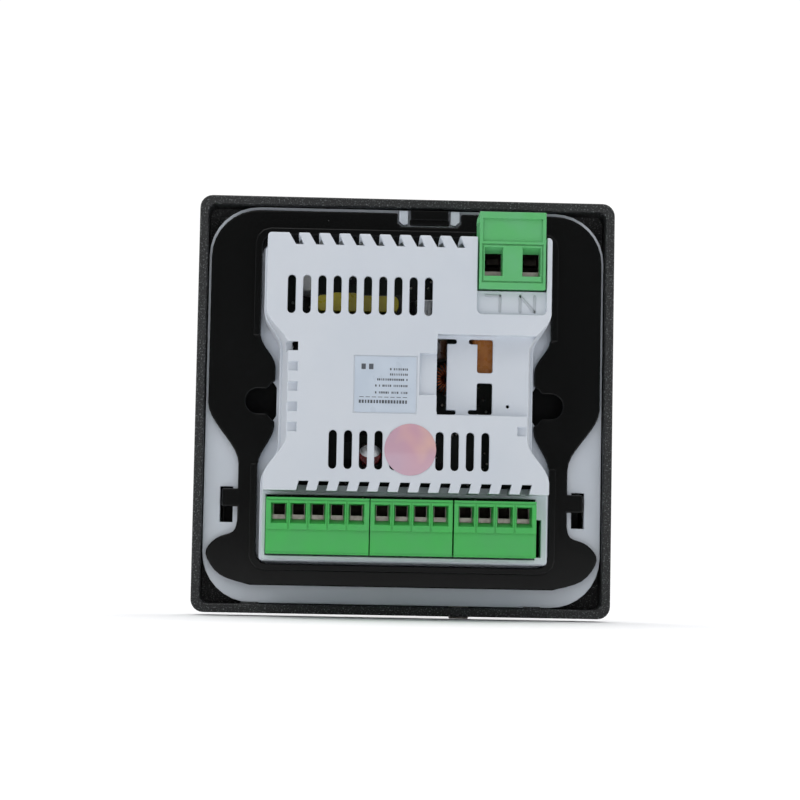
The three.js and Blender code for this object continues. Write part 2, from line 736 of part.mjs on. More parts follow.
function mainsPlugSolid() {
  const body = block([mains.right, plugStart, mains.low], [mains.left, mains.back, mains.high]);
  const nose = block(
    [mainsHeader.right + headerWall + gap, standY + headerFloor + gap, mainsHeader.low + headerWall + gap],
    [mainsHeader.left - headerWall - gap, plugStart + 0.5, mainsHeader.high - headerWall - gap],
  );
  const nib = block([mains.left - 0.2, 15, 35.4], [mains.left + 0.35, mains.back - 0.4, 36.2]);
  const panel = block([mains.right + 0.7, mains.back - 0.5, 31.7], [mains.left - 0.7, mains.back + 1, 36.3]);
  const cutters = mainsWays.flatMap((x) => wayCutters(mains, x, mainsHead, -1, mainsPinZ));
  return cutAll(joinAll([body, nose, nib]), [panel, faceGroove(0.55, 23.5, 31.2, 0.3, 0.4), ...cutters]);
}
place('plug_mains', mainsPlugSolid(), 'green');

mainsWays.forEach((x, i) => {
  const label = `mains_${i + 1}`;
  const contact = block([x - 1.25, mains.cageFront + 0.1, 27.4], [x + 1.25, mains.cageBack - 0.3, 28.6]);
  place(`screw_${label}`, screwSolid(mains, x, mainsHead, -1), 'steel');
  place(`clamp_${label}`, clampSolid(mains, x, -1), 'steel');
  place(`contact_${label}`, contact, 'steel');
});

export default object;
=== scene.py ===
# Flush wall thermostat panel, seen from its wiring side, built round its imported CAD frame.
# Metres, +Z up: the touch glass faces -Y and the terminals face +Y, as they would sit in a wall box.

import json
import math

import bmesh
import bpy
from mathutils import Matrix, Quaternion, Vector

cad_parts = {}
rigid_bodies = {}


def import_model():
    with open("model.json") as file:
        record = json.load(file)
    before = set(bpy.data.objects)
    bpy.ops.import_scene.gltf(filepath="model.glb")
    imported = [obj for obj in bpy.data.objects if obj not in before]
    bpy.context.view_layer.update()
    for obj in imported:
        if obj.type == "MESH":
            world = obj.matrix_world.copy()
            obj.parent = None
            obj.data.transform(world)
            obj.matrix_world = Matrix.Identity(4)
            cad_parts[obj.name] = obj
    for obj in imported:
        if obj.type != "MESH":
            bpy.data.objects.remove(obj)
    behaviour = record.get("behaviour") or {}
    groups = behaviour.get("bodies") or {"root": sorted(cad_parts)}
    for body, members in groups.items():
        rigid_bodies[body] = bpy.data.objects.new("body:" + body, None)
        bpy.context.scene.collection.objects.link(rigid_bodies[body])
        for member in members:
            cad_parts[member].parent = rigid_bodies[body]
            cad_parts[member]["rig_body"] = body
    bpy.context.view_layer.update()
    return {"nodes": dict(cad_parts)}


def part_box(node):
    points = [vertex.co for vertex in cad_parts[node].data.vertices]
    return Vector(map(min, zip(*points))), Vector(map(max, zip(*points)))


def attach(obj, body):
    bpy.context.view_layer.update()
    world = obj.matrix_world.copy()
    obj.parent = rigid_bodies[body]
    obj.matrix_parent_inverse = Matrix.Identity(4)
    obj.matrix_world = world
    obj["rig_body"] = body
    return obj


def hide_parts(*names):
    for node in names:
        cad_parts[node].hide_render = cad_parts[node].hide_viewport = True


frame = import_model()
mm = 0.001
print("frame loaded:", len(frame["nodes"]), "nodes")


# colours and nodes

def linear(hexColour):
    channels = [int(hexColour[i:i + 2], 16) / 255 for i in (1, 3, 5)]
    curved = [c / 12.92 if c <= 0.04045 else ((c + 0.055) / 1.055) ** 2.4 for c in channels]
    return (*curved, 1.0)


def perMm(size):
    return 1 / (size * mm)  # a texture's scale for a pattern that repeats every so many millimetres


def addNode(tree, kind, inputs=None, **settings):
    node = tree.nodes.new(kind)
    for name, value in settings.items():
        setattr(node, name, value)
    for key, value in (inputs or {}).items():
        if isinstance(value, bpy.types.NodeSocket):
            tree.links.new(value, node.inputs[key])
        else:
            node.inputs[key].default_value = value
    return node


def startMaterial(name, constants):
    material = bpy.data.materials.new(name)
    material.use_nodes = True
    tree = material.node_tree
    tree.nodes.clear()
    shader = addNode(tree, "ShaderNodeBsdfPrincipled", constants)
    addNode(tree, "ShaderNodeOutputMaterial", {"Surface": shader.outputs[0]})
    place = addNode(tree, "ShaderNodeTexCoord").outputs["Object"]
    return material, tree, shader, place


def noiseField(tree, place, size, detail=3.0, low=0.35, high=0.65):
    noise = addNode(tree, "ShaderNodeTexNoise", {"Vector": place, "Scale": perMm(size), "Detail": detail})
    spread = {"Value": noise.outputs["Fac"], "From Min": low, "From Max": high}
    return addNode(tree, "ShaderNodeMapRange", spread).outputs[0]


def mixColours(tree, share, first, second):
    picked = {0: share, 6: first, 7: second}
    return addNode(tree, "ShaderNodeMix", picked, data_type="RGBA").outputs[2]


def specks(tree, place, spacing, size, share):
    cells = addNode(tree, "ShaderNodeTexVoronoi", {"Vector": place, "Scale": perMm(spacing)})
    lucky = addNode(tree, "ShaderNodeSeparateColor", {0: cells.outputs["Color"]}).outputs[0]
    chosen = addNode(tree, "ShaderNodeMath", {0: lucky, 1: share}, operation="LESS_THAN").outputs[0]
    reach = {0: cells.outputs["Distance"], 1: size / spacing}
    near = addNode(tree, "ShaderNodeMath", reach, operation="LESS_THAN").outputs[0]
    return addNode(tree, "ShaderNodeMath", {0: chosen, 1: near}, operation="MULTIPLY").outputs[0]


def bumpFrom(tree, shader, height, depth):
    bump = addNode(tree, "ShaderNodeBump", {"Strength": 1.0, "Distance": depth * mm, "Height": height})
    tree.links.new(bump.outputs[0], shader.inputs["Normal"])


# materials

# moulded, dipped or printed plastic: even colour with faint clouds, a fine skin and a soft gloss;
# specks are dust or solder, bands are the turns of a wrapped tape
def mouldedPlastic(name, look):
    constants = {"IOR": look["ior"], "Specular IOR Level": look.get("specular", 0.5)}
    material, tree, shader, place = startMaterial(name, constants)
    clouds = noiseField(tree, place, look["cloudSize"])
    colour = mixColours(tree, clouds, linear(look["colour"]), linear(look["cloudColour"]))
    gloss = noiseField(tree, place, look["cloudSize"] * 0.4)
    rough = {"Value": gloss, "To Min": look["roughness"] * 0.9, "To Max": look["roughness"] * 1.12}
    roughness = addNode(tree, "ShaderNodeMapRange", rough).outputs[0]
    if "speckColour" in look:
        mask = specks(tree, place, look["speckSpacing"], look["speckSize"], look["speckShare"])
        colour = mixColours(tree, mask, colour, linear(look["speckColour"]))
    if "bandColour" in look:
        turns = {"Vector": place, "Scale": perMm(look["bandSpacing"]) / 20, "Distortion": 0.6}
        bands = addNode(tree, "ShaderNodeTexWave", turns, bands_direction=look["bandAxis"]).outputs["Fac"]
        colour = mixColours(tree, bands, colour, linear(look["bandColour"]))
    grain = addNode(tree, "ShaderNodeTexNoise",
                    {"Vector": place, "Scale": perMm(look["grainSize"]), "Detail": 2.0})
    tree.links.new(colour, shader.inputs["Base Color"])
    tree.links.new(roughness, shader.inputs["Roughness"])
    bumpFrom(tree, shader, grain.outputs["Fac"], look["grainDepth"])
    return material


# plated or drawn metal: grey tone with faint stains and fine drawing lines
def platedMetal(name, look):
    material, tree, shader, place = startMaterial(name, {"Metallic": 1.0})
    stains = noiseField(tree, place, look["stainSize"])
    colour = mixColours(tree, stains, linear(look["colour"]), linear(look["stainColour"]))
    stretched = addNode(tree, "ShaderNodeMapping", {"Vector": place, "Scale": look["lineStretch"]})
    lines = addNode(tree, "ShaderNodeTexNoise",
                    {"Vector": stretched.outputs[0], "Scale": perMm(look["lineSize"])}).outputs["Fac"]
    rough = {"Value": lines, "To Min": look["roughness"] * 0.75, "To Max": look["roughness"] * 1.35}
    tree.links.new(colour, shader.inputs["Base Color"])
    tree.links.new(addNode(tree, "ShaderNodeMapRange", rough).outputs[0], shader.inputs["Roughness"])
    bumpFrom(tree, shader, lines, look["lineDepth"])
    return material


# frame: black ABS from a coarsely etched mould; light catches the tips of the grain,
# which is drawn a little coarser than the real 0.2 mm so that it shows
frameLook = {"valley": "#101213", "tip": "#85898A", "grainSize": 0.34, "grainDepth": 0.08,
             "roughness": 0.58, "tipStart": 0.55, "tipEnd": 0.76}


def etchedPlastic(name, look):
    material, tree, shader, place = startMaterial(name, {"IOR": 1.54, "Roughness": look["roughness"]})
    grain = addNode(tree, "ShaderNodeTexNoise",
                    {"Vector": place, "Scale": perMm(look["grainSize"]), "Detail": 2.5, "Roughness": 0.6})
    tips = addNode(tree, "ShaderNodeMapRange", {"Value": grain.outputs["Fac"], "From Min": look["tipStart"],
                                                "From Max": look["tipEnd"]})
    colour = mixColours(tree, tips.outputs[0], linear(look["valley"]), linear(look["tip"]))
    tree.links.new(colour, shader.inputs["Base Color"])
    bumpFrom(tree, shader, grain.outputs["Fac"], look["grainDepth"])
    return material


# front: toughened glass printed black on its back, with the darker-edged window of the screen
glassLook = {"border": "#060708", "window": "#0E1115", "windowHalf": (31.0, 23.5), "windowRise": 6.0}


def printedGlass(name, look):
    constants = {"IOR": 1.52, "Roughness": 0.04, "Specular IOR Level": 0.32}
    material, tree, shader, place = startMaterial(name, constants)
    parts = addNode(tree, "ShaderNodeSeparateXYZ", {0: place})
    raised = addNode(tree, "ShaderNodeMath", {0: parts.outputs["Z"], 1: look["windowRise"] * mm},
                     operation="SUBTRACT").outputs[0]
    inside = []
    for value, half in zip((parts.outputs["X"], raised), look["windowHalf"]):
        size = addNode(tree, "ShaderNodeMath", {0: value}, operation="ABSOLUTE").outputs[0]
        limit = {0: size, 1: half * mm}
        inside.append(addNode(tree, "ShaderNodeMath", limit, operation="LESS_THAN").outputs[0])
    both = addNode(tree, "ShaderNodeMath", {0: inside[0], 1: inside[1]}, operation="MULTIPLY").outputs[0]
    colour = mixColours(tree, both, linear(look["border"]), linear(look["window"]))
    tree.links.new(colour, shader.inputs["Base Color"])
    return material


# round sticker: pearly pink foil whose tint wanders by noise between lilac, pink and peach; the pink is the
# foil's own colour, the lilac and peach are painted sheen standing in for its iridescence
pearlLook = {"lilac": "#C2A3B6", "pink": "#CFA0AE", "peach": "#DDB4AC", "driftSize": 9.0, "roughness": 0.24}


def pearlFoil(name, look):
    constants = {"Roughness": look["roughness"], "Specular IOR Level": 0.6, "Coat Weight": 0.4}
    material, tree, shader, place = startMaterial(name, constants)
    drift = noiseField(tree, place, look["driftSize"], detail=1.0, low=0.3, high=0.7)
    fine = noiseField(tree, place, look["driftSize"] * 0.6, detail=1.0, low=0.55, high=0.8)
    # painted sheen: lilac and peach drift over the foil's own pink
    tint = mixColours(tree, drift, linear(look["lilac"]), linear(look["pink"]))
    colour = mixColours(tree, fine, tint, linear(look["peach"]))
    tree.links.new(colour, shader.inputs["Base Color"])
    return material


# housing: satin white ABS with a cool cast; the grain is coarser than the real 0.05 mm so that it shows
whiteLook = {"colour": "#D3D9E1", "cloudColour": "#CFD6DF", "cloudSize": 14, "roughness": 0.4,
             "ior": 1.54, "grainSize": 0.16, "grainDepth": 0.004}
# wall bracket: black ABS from a polished mould, so mirror-like, with a few dust specks
bracketLook = {"colour": "#0A0B0B", "cloudColour": "#0D0E0E", "cloudSize": 20, "roughness": 0.13,
               "ior": 1.54, "specular": 0.2, "grainSize": 1.4, "grainDepth": 0.001,
               "speckColour": "#4A4C4C", "speckSpacing": 3.2, "speckSize": 0.11, "speckShare": 0.16}
# terminal blocks: green PBT, a little shinier than the housing
greenLook = {"colour": "#42B856", "cloudColour": "#47B25C", "cloudSize": 5, "roughness": 0.36,
             "ior": 1.57, "grainSize": 0.2, "grainDepth": 0.003}
mainsGreenLook = {**greenLook, "colour": "#5CB96F", "cloudColour": "#64B87A"}
# screws and clamps: zinc plating, blue-grey with slight stains
zincLook = {"colour": "#BDB8B0", "stainColour": "#9A938C", "stainSize": 1.2, "roughness": 0.34,
            "lineStretch": (1, 1, 6), "lineSize": 0.25, "lineDepth": 0.004}
# contacts and pins: nickel on brass, warmer and duller
nickelLook = {**zincLook, "colour": "#C9C2B8", "stainColour": "#A89E94", "roughness": 0.42}
# contact bars in the plugs: bronze drawn almost black, painted shade for the deep insides behind the windows
shadeBronzeLook = {**zincLook, "colour": "#2E2926", "stainColour": "#1D1A19", "roughness": 0.5}
# capacitor can: drawn aluminium
canLook = {**zincLook, "colour": "#D2D4D6", "stainColour": "#B9BCC0", "roughness": 0.28,
           "lineStretch": (1, 1, 0.2)}
# choke wire: copper under clear enamel
copperLook = {**zincLook, "colour": "#B5673F", "stainColour": "#7E3B22", "stainSize": 2.0, "roughness": 0.3}
# transformer core: sintered and ground, matt charcoal
ferriteLook = {"colour": "#232325", "cloudColour": "#2B2B2C", "cloudSize": 3, "roughness": 0.62, "ior": 1.8,
               "specular": 0.3, "grainSize": 0.3, "grainDepth": 0.01}
# winding: glossy yellow polyester tape, its overlaps a shade darker
tapeLook = {"colour": "#C2B32B", "cloudColour": "#A89A24", "cloudSize": 2.5, "roughness": 0.3, "ior": 1.6,
            "grainSize": 0.6, "grainDepth": 0.03,
            "bandColour": "#8F8420", "bandSpacing": 2.6, "bandAxis": "X"}
# varistor: dipped coating over the disc
coatingLook = {"colour": "#C9CBCC", "cloudColour": "#B6B9BA", "cloudSize": 2, "roughness": 0.45, "ior": 1.5,
               "grainSize": 0.4, "grainDepth": 0.02}
sleeveLook = {**coatingLook, "colour": "#8E1F24", "cloudColour": "#7A191E", "roughness": 0.3,
              "speckColour": "#C9B9B9", "speckSpacing": 0.8, "speckSize": 0.2, "speckShare": 0.3}
amberLook = {**coatingLook, "colour": "#B8742E", "cloudColour": "#A86424", "roughness": 0.28}
# circuit boards: near-black green solder mask with tinned points
boardLook = {"colour": "#0E1B14", "cloudColour": "#0B1510", "cloudSize": 4, "roughness": 0.4, "ior": 1.5,
             "specular": 0.35, "grainSize": 0.5, "grainDepth": 0.01, "speckColour": "#6E7470",
             "speckSpacing": 1.9, "speckSize": 0.3, "speckShare": 0.4}
chipLook = {**ferriteLook, "colour": "#161617", "cloudColour": "#1B1B1C", "ior": 1.5}
screenLook = {**ferriteLook, "colour": "#0A0B0C", "cloudColour": "#0D0E0F", "ior": 1.5, "specular": 0.15}
# sticker: silver-grey coated paper, its print in flat dark grey ink
paperLook = {"colour": "#C9D4E1", "cloudColour": "#C1CDDB", "cloudSize": 7, "roughness": 0.3, "ior": 1.5,
             "grainSize": 0.5, "grainDepth": 0.002}
inkLook = {**paperLook, "colour": "#474C53", "cloudColour": "#555A62", "roughness": 0.5}
keyLook = {**paperLook, "colour": "#5A6068", "cloudColour": "#62686F"}
# raised letters: a darker grey than the housing, painted shade along the strokes
shadedLetterLook = {**whiteLook, "colour": "#B4BBC2", "cloudColour": "#AEB5BC"}

materials = {
    "blackAbsEtched": etchedPlastic("blackAbsEtched", frameLook),
    "toughenedGlass": printedGlass("toughenedGlass", glassLook),
    "pearlFoil": pearlFoil("pearlFoil", pearlLook),
}
plastics = {"whiteAbsSatin": whiteLook, "blackAbsPolished": bracketLook, "greenPbtMoulded": greenLook,
            "greenPbtMains": mainsGreenLook, "sinteredFerrite": ferriteLook, "polyesterTape": tapeLook,
            "coatedCeramic": coatingLook, "shrunkSleeve": sleeveLook, "dippedEpoxy": amberLook,
            "solderMask": boardLook, "epoxyChip": chipLook, "screenCell": screenLook,
            "coatedPaper": paperLook, "printInk": inkLook, "keyInk": keyLook, "mouldedLetter": shadedLetterLook}
metals = {"zincPlatedSteel": zincLook, "nickelPlatedBrass": nickelLook, "darkenedBronze": shadeBronzeLook,
          "drawnAluminium": canLook, "enamelledCopper": copperLook}
materials.update({name: mouldedPlastic(name, look) for name, look in plastics.items()})
materials.update({name: platedMetal(name, look) for name, look in metals.items()})
print("materials made:", len(materials))


# shared steps for pieces

def bodyOf(node):
    return frame["nodes"][node]["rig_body"]


def newPiece(name, mesh):
    piece = bpy.data.objects.new(name, mesh)
    bpy.context.scene.collection.objects.link(piece)
    return piece


def plainMesh(piece):
    graph = bpy.context.evaluated_depsgraph_get()
    mesh = bpy.data.meshes.new_from_object(piece.evaluated_get(graph))
    mesh.name = piece.name
    piece.modifiers.clear()
    piece.data = mesh


def smoothSides(mesh, angle=35):
    mesh.shade_smooth()
    mesh.set_sharp_from_angle(angle=math.radians(angle))


def fromBmesh(name, shape, material):
    bmesh.ops.recalc_face_normals(shape, faces=shape.faces)
    mesh = bpy.data.meshes.new(name)
    shape.to_mesh(mesh)
    shape.free()
    mesh.materials.append(materials[material])
    smoothSides(mesh)
    return newPiece(name, mesh)


def camel(node):
    first, *rest = node.split("_")
    return first + "".join(word.capitalize() for word in rest)


def prefixed(prefix, node):
    return camel(f"{prefix}_{node}")


# pieces that follow a CAD node, with rounded edges

edgeLook = {"sharpAngle": 35, "roundAngle": 50, "roundWeight": 0.001}


# flat faces keep their own normal, and the narrow rounding between them takes up the whole turn
def calmNormals(mesh, isRound, look):
    flatLimit = math.cos(math.radians(look["sharpAngle"]))
    roundLimit = math.cos(math.radians(look["roundAngle"]))
    facesAt = [[] for _ in mesh.vertices]
    for face in mesh.polygons:
        for corner in face.vertices:
            facesAt[corner].append(face.index)
    normals = [face.normal.copy() for face in mesh.polygons]
    weights = [face.area / mm ** 2 * (look["roundWeight"] if isRound[face.index] else 1)
               for face in mesh.polygons]
    cornerNormals = []
    for face in mesh.polygons:
        own = normals[face.index]
        for corner in face.vertices:
            total = own * 1e-9
            for other in facesAt[corner]:
                limit = roundLimit if isRound[face.index] and isRound[other] else flatLimit
                if own.dot(normals[other]) > limit:
                    total += normals[other] * weights[other]
            cornerNormals.append(total.normalized())
    mesh.normals_split_custom_set(cornerNormals)


# the flat areas left between the roundings are filled afresh from their outlines, so no sliver folds over
def refillFlats(shape, mark):
    waiting = dict.fromkeys(face for face in shape.faces if not face[mark])  # keeps its order, unlike a set
    while waiting:
        seed = next(iter(waiting))
        del waiting[seed]
        group = [seed]
        for face in group:
            for edge in face.edges:
                for other in edge.link_faces:
                    if other in waiting and abs(other.normal.dot(seed.normal)) > 0.99999:
                        del waiting[other]
                        group.append(other)
        largest = max(group, key=lambda face: face.calc_area()).normal.copy()
        if len(group) == 1 and len(seed.verts) <= 4:
            continue
        inGroup = dict.fromkeys(group)
        edges = dict.fromkeys(edge for face in group for edge in face.edges)
        rim = [edge for edge in edges if sum(other in inGroup for other in edge.link_faces) == 1]
        inside = [edge for edge in edges
                  if all(other in inGroup for other in edge.link_faces) and len(edge.link_faces) > 1]
        wanted = sum(face.calc_area() * (1 if face.normal.dot(largest) > 0 else -1) for face in group)
        corners = [list(face.verts) for face in group]
        bmesh.ops.delete(shape, geom=group, context="FACES_ONLY")
        filled = bmesh.ops.triangle_fill(shape, edges=rim, use_beauty=True, normal=largest)["geom"]
        fresh = [item for item in filled if isinstance(item, bmesh.types.BMFace)]
        for face in fresh:
            face.normal_update()
            if face.normal.dot(largest) < 0:
                face.normal_flip()
        if abs(sum(face.calc_area() for face in fresh) - wanted) > 0.01 * abs(wanted):
            bmesh.ops.delete(shape, geom=fresh, context="FACES_ONLY")
            for verts in corners:
                shape.faces.new(verts)
            continue
        bmesh.ops.delete(shape, geom=[edge for edge in inside if edge.is_valid and not edge.link_faces],
                         context="EDGES")


def roundedCopy(node, material, radius):
    name = camel(node)
    shape = bmesh.new()
    shape.from_mesh(frame["nodes"][node].data)
    bmesh.ops.remove_doubles(shape, verts=shape.verts, dist=0.001 * mm)
    bmesh.ops.dissolve_limit(shape, angle_limit=math.radians(0.4), verts=shape.verts, edges=shape.edges)
    sharp = math.radians(edgeLook["sharpAngle"])
    outer = [edge for edge in shape.edges if edge.calc_face_angle_signed() > sharp]  # outside corners only
    mark = shape.faces.layers.int.new("isRound")
    rounded = bmesh.ops.bevel(shape, geom=outer, offset=radius * mm, offset_type="OFFSET", segments=2,
                              profile=0.5, affect="EDGES", clamp_overlap=False, loop_slide=False)
    for face in rounded["faces"]:
        face[mark] = 1
    shape.normal_update()
    refillFlats(shape, mark)
    bmesh.ops.triangulate(shape, faces=[face for face in shape.faces if len(face.verts) > 4])
    isRound = [face[mark] for face in shape.faces]
    shape.faces.layers.int.remove(mark)
    mesh = bpy.data.meshes.new(name)
    shape.to_mesh(mesh)
    shape.free()
    mesh.materials.append(materials[material])
    mesh.shade_smooth()
    calmNormals(mesh, isRound, edgeLook)
    piece = newPiece(name, mesh)
    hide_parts(node)
    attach(piece, bodyOf(node))
    return piece


plugNames = ["five_way", "four_way_inner", "four_way_outer", "mains"]
screwNodes = [node for node in frame["nodes"] if node.startswith("screw_")]
clampNodes = [node for node in frame["nodes"] if node.startswith("clamp_")]
contactNodes = [node for node in frame["nodes"] if node.startswith("contact_")]
roundedPieces = {
    "front_glass": ("toughenedGlass", 0.3),
    "display_panel": ("screenCell", 0.2),
    "bezel_frame": ("blackAbsEtched", 0.35),
    "main_board": ("solderMask", 0.08),
    "back_plate": ("whiteAbsSatin", 0.15),
    "rear_cover": ("whiteAbsSatin", 0.14),
    "wall_bracket": ("blackAbsPolished", 0.3),
    "latch_tongue": ("blackAbsPolished", 0.25),
    "reset_button": ("nickelPlatedBrass", 0.2),
    "power_board": ("solderMask", 0.08),
    "transformer_core": ("sinteredFerrite", 0.2),
    "transformer_winding": ("polyesterTape", 0.3),
    "disc_varistor": ("coatedCeramic", 0.5),
    "bulk_capacitor": ("drawnAluminium", 0.4),
    "output_capacitor": ("shrunkSleeve", 0.3),
    "film_capacitor": ("dippedEpoxy", 0.6),
    "plug_mains": ("greenPbtMains", 0.1),
    "header_mains": ("greenPbtMains", 0.06),
}
for plug in plugNames[:3]:
    roundedPieces[f"plug_{plug}"] = ("greenPbtMoulded", 0.07)
    roundedPieces[f"header_{plug}"] = ("greenPbtMoulded", 0.06)
roundedPieces.update({node: ("zincPlatedSteel", 0.05) for node in clampNodes})
# the contacts are drawn almost black as well: painted shade deep inside the plugs
roundedPieces.update({node: ("darkenedBronze", 0.05) for node in contactNodes})
for node, (material, radius) in roundedPieces.items():
    roundedCopy(node, material, radius)
print("rounded pieces:", len(roundedPieces))


# what repeats is grown by node trees

def startTree(name, inputs):
    tree = bpy.data.node_groups.new(name, "GeometryNodeTree")
    tree.interface.new_socket("Geometry", in_out="OUTPUT", socket_type="NodeSocketGeometry")
    kinds = {float: "NodeSocketFloat", int: "NodeSocketInt", tuple: "NodeSocketVector"}
    for label, value in inputs.items():
        socket = tree.interface.new_socket(label, in_out="INPUT", socket_type=kinds[type(value)])
        socket.default_value = value
    given = tree.nodes.new("NodeGroupInput")
    return tree, {label: given.outputs[label] for label in inputs}


def finishTree(tree, geometry, material):
    whole = addNode(tree, "GeometryNodeRealizeInstances", {"Geometry": geometry}).outputs[0]
    painted = addNode(tree, "GeometryNodeSetMaterial", {"Geometry": whole, "Material": materials[material]})
    addNode(tree, "NodeGroupOutput", {"Geometry": painted.outputs[0]})
    return tree


def joined(tree, solids):
    join = addNode(tree, "GeometryNodeJoinGeometry")
    for solid in solids:
        tree.links.new(solid, join.inputs[0])
    return join.outputs[0]


def moved(tree, geometry, translation, rotation=(0.0, 0.0, 0.0)):
    place = {"Geometry": geometry, "Translation": translation, "Rotation": rotation}
    return addNode(tree, "GeometryNodeTransform", place).outputs[0]


def calculate(tree, operation, first, second=0.0):
    return addNode(tree, "ShaderNodeMath", {0: first, 1: second}, operation=operation).outputs[0]


def vector(tree, x=0.0, y=0.0, z=0.0):
    return addNode(tree, "ShaderNodeCombineXYZ", {0: x, 1: y, 2: z}).outputs[0]


def randomSize(tree, low, high, seed):
    return addNode(tree, "FunctionNodeRandomValue", {2: low, 3: high, 8: seed}, data_type="FLOAT").outputs[1]


def growPiece(name, tree, values, body, replaced=()):
    piece = newPiece(name, bpy.data.meshes.new(name))
    builder = piece.modifiers.new("builder", "NODES")
    builder.node_group = tree
    inputs = {item.name: item.identifier for item in tree.interface.items_tree if item.in_out == "INPUT"}
    for label, value in values.items():
        builder[inputs[label]] = value
    plainMesh(piece)
    smoothSides(piece.data)
    if replaced:
        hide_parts(*replaced)
    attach(piece, body)
    return piece


# terminal screws: slotted cheese head with a rounded rim, and a thread of stacked ridges;
# built with the head's face at zero and the shank pointing down
smallScrewLook = {"Head Thick": 1.2, "Shank Radius": 0.78, "Ridge": 0.07, "Pitch": 0.4, "Slot Width": 0.42,
                  "Slot Depth": 0.6}
mainsScrewLook = {"Head Thick": 1.3, "Shank Radius": 1.25, "Ridge": 0.1, "Pitch": 0.5, "Slot Width": 0.6,
                  "Slot Depth": 0.7}


def screwTree(material):
    sizes = {"Head Radius": 0.001, "Head Thick": 0.001, "Shank Radius": 0.001, "Length": 0.005,
             "Ridge": 0.0001, "Pitch": 0.0004, "Slot Width": 0.0004, "Slot Depth": 0.0005,
             "Place": (0.0, 0.0, 0.0), "Turn": (0.0, 0.0, 0.0)}
    tree, given = startTree("terminalScrew", sizes)
    halfHead = calculate(tree, "MULTIPLY", given["Head Thick"], -0.5)
    column = {"Vertices": 32, "Side Segments": 6, "Radius": given["Head Radius"],
              "Depth": given["Head Thick"]}
    head = addNode(tree, "GeometryNodeMeshCylinder", column).outputs[0]
    head = moved(tree, head, vector(tree, z=halfHead))
    spot = addNode(tree, "GeometryNodeInputPosition").outputs[0]
    parts = addNode(tree, "ShaderNodeSeparateXYZ", {0: spot})
    rim = {"Value": parts.outputs["Z"], "From Min": calculate(tree, "MULTIPLY", given["Head Thick"], -0.4),
           "From Max": 0.0, "To Min": 1.0, "To Max": 0.88}
    narrow = addNode(tree, "ShaderNodeMapRange", rim, interpolation_type="SMOOTHSTEP").outputs[0]
    drawn = vector(tree, calculate(tree, "MULTIPLY", parts.outputs["X"], narrow),
                   calculate(tree, "MULTIPLY", parts.outputs["Y"], narrow), parts.outputs["Z"])
    head = addNode(tree, "GeometryNodeSetPosition", {"Geometry": head, "Position": drawn}).outputs[0]
    cutSize = vector(tree, calculate(tree, "MULTIPLY", given["Head Radius"], 3.0), given["Slot Width"],
                     calculate(tree, "MULTIPLY", given["Slot Depth"], 2.0))
    cutter = addNode(tree, "GeometryNodeMeshCube", {"Size": cutSize}).outputs[0]
    slotted = addNode(tree, "GeometryNodeMeshBoolean", {"Mesh 1": head, "Mesh 2": cutter},
                      operation="DIFFERENCE")
    shankLength = calculate(tree, "SUBTRACT", given["Length"], given["Head Thick"])
    middle = calculate(tree, "SUBTRACT", calculate(tree, "MULTIPLY", shankLength, -0.5), given["Head Thick"])
    core = {"Vertices": 16, "Radius": given["Shank Radius"], "Depth": shankLength}
    shank = moved(tree, addNode(tree, "GeometryNodeMeshCylinder", core).outputs[0], vector(tree, z=middle))
    outerRadius = calculate(tree, "ADD", given["Shank Radius"], given["Ridge"])
    halfPitch = calculate(tree, "MULTIPLY", given["Pitch"], 0.45)
    lower = {"Vertices": 16, "Radius Top": outerRadius, "Radius Bottom": given["Shank Radius"],
             "Depth": halfPitch}
    upper = {**lower, "Radius Top": given["Shank Radius"], "Radius Bottom": outerRadius}
    lowerCone = addNode(tree, "GeometryNodeMeshCone", lower).outputs[0]
    upperCone = addNode(tree, "GeometryNodeMeshCone", upper).outputs[0]
    upperCone = moved(tree, upperCone, vector(tree, z=halfPitch))
    ridge = joined(tree, [lowerCone, upperCone])
    count = calculate(tree, "SUBTRACT", calculate(tree, "DIVIDE", shankLength, given["Pitch"]), 1.0)
    start = vector(tree, z=calculate(tree, "MULTIPLY", calculate(tree, "ADD", given["Head Thick"],
                                                                given["Pitch"]), -1.0))
    line = {"Count": count, "Start Location": start,
            "Offset": vector(tree, z=calculate(tree, "MULTIPLY", given["Pitch"], -1.0))}
    turns = addNode(tree, "GeometryNodeMeshLine", line, mode="OFFSET").outputs[0]
    thread = addNode(tree, "GeometryNodeInstanceOnPoints", {"Points": turns, "Instance": ridge}).outputs[0]
    whole = joined(tree, [slotted.outputs[0], shank, thread])
    return finishTree(tree, moved(tree, whole, given["Place"], given["Turn"]), material)


def makeScrews():
    tree = screwTree("zincPlatedSteel")
    for node in screwNodes:
        low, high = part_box(node)
        headUp = "mains" in node
        look = mainsScrewLook if headUp else smallScrewLook
        values = {label: size * mm for label, size in look.items()}
        values["Head Radius"] = (high[0] - low[0]) / 2
        values["Length"] = high[2] - low[2]
        values["Place"] = ((low[0] + high[0]) / 2, (low[1] + high[1]) / 2, high[2] if headUp else low[2])
        values["Turn"] = (0.0 if headUp else math.pi, 0.0, 0.0)
        growPiece(camel(node), tree, values, bodyOf(node), [node])
    print("screws made:", len(screwNodes))


makeScrews()

# contact pins of the headers: square nickel-plated pins with a tapered tip, over the CAD pins
pinLook = {"half": 0.53, "tip": 0.3, "floorAbove": 1.5, "length": 6.3,
           "heights": {"mains": 27.2}, "otherHeight": -25.4}


